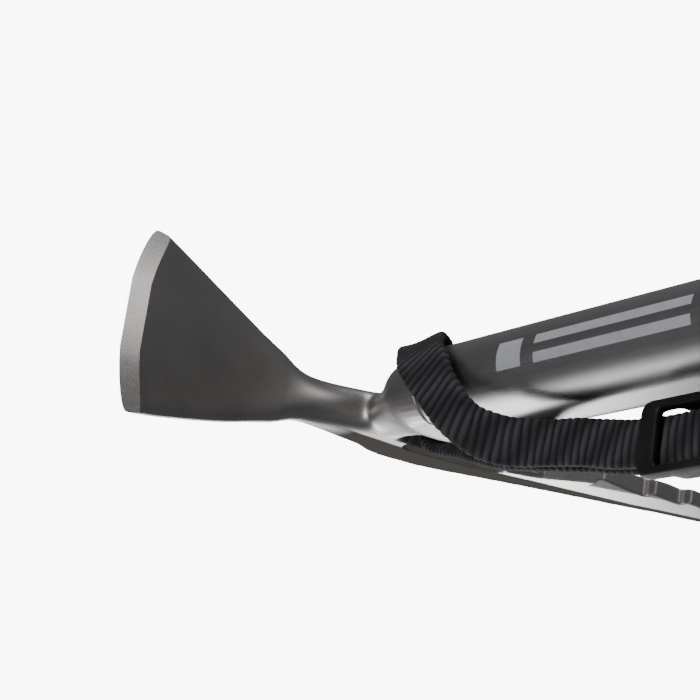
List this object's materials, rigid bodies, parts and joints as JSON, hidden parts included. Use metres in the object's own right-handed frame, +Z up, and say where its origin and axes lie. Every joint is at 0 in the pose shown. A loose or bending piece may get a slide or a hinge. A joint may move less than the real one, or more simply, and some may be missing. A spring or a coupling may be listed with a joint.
{
  "type": "ice axe",
  "caption": "Mountaineering ice axe with a curved toothed pick, a flared adze, an oval tube shaft, a riveted spike and a webbing leash on the carabiner hole.",
  "frame": {"origin": "the hanging point, under the top bar of the carabiner hole in the head, on the middle plane of the axe", "axes": "+Z up along the shaft from spike to head, -X towards the tip of the pick and +X towards the adze, -Y the side the leash lies on"},
  "size_m": [0.2623, 0.063, 0.6],
  "materials": {
    "head_steel": "fine blasted steel with ground edges",
    "shaft_aluminium": "dark grey satin anodising",
    "rivet_steel": "plain steel",
    "webbing": "black ribbed woven webbing",
    "buckle_plastic": "moulded black plastic"
  },
  "bodies": {
    "axe": {"head_casting": "head_steel", "shaft_tube": "shaft_aluminium", "head_rivet_upper": "rivet_steel", "head_rivet_lower": "rivet_steel", "spike_point": "head_steel", "spike_rivet": "rivet_steel", "leash_head_loop": "webbing", "leash_strap": "webbing", "leash_wrist_loop": "webbing"},
    "slide_buckle": {"leash_slide_buckle": "buckle_plastic"},
    "wrist_slider": {"leash_wrist_slider": "buckle_plastic"}
  },
  "joints": [
    {"name": "buckle_slide", "type": "slide", "parent": "axe", "child": "slide_buckle", "axis": [0, 0, 1], "range_m": [-0.03, 0.001]},
    {"name": "wrist_slide", "type": "slide", "parent": "axe", "child": "wrist_slider", "axis": [0, 0, 1], "range_m": [-0.015, 0.005]}
  ]
}
